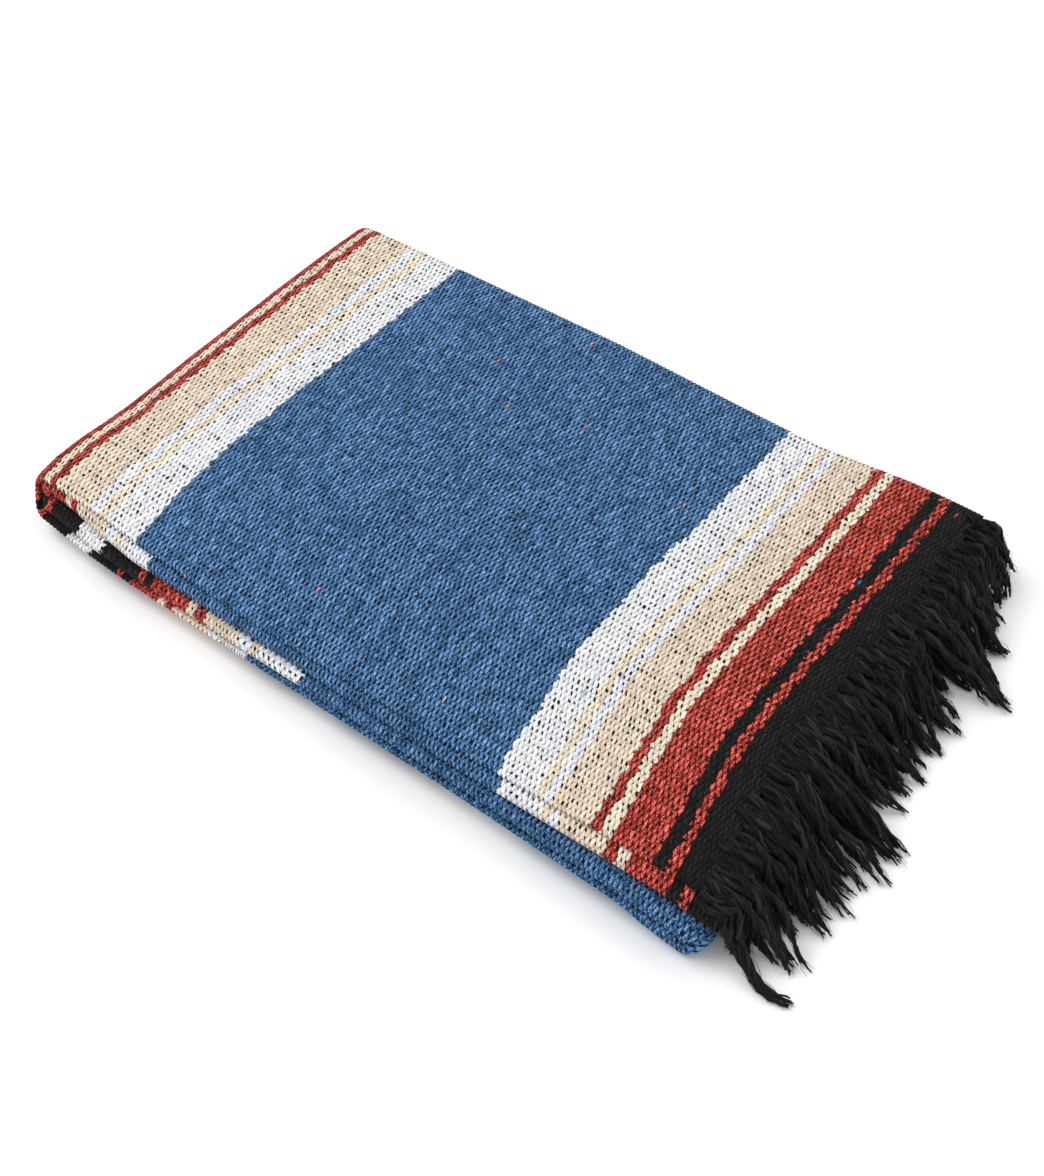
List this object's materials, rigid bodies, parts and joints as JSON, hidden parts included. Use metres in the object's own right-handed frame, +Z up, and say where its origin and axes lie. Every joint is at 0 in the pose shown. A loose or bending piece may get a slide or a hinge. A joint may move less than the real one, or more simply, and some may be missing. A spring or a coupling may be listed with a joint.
{
  "type": "folded blanket",
  "caption": "Thick woven striped blanket with a twisted fringe, folded into a flat stack as on a shelf; a throw, a floor or yoga mat, or a cover.",
  "frame": {"origin": "middle of the box's underside, on the surface that the blanket lies on", "axes": "+X along the folded blanket towards the fringe, +Y across it from the open front edge to the folded back edge, +Z up"},
  "size_m": [0.6444, 0.3822, 0.0527],
  "materials": {
    "blue_weft": "matt, soft",
    "black_warp": "matt, soft"
  },
  "bodies": {
    "root": {"top_leaf": "blue_weft", "under_leaf": "blue_weft", "inner_layers": "blue_weft", "upper_fringe": "black_warp", "lower_fringe": "black_warp"}
  },
  "joints": []
}
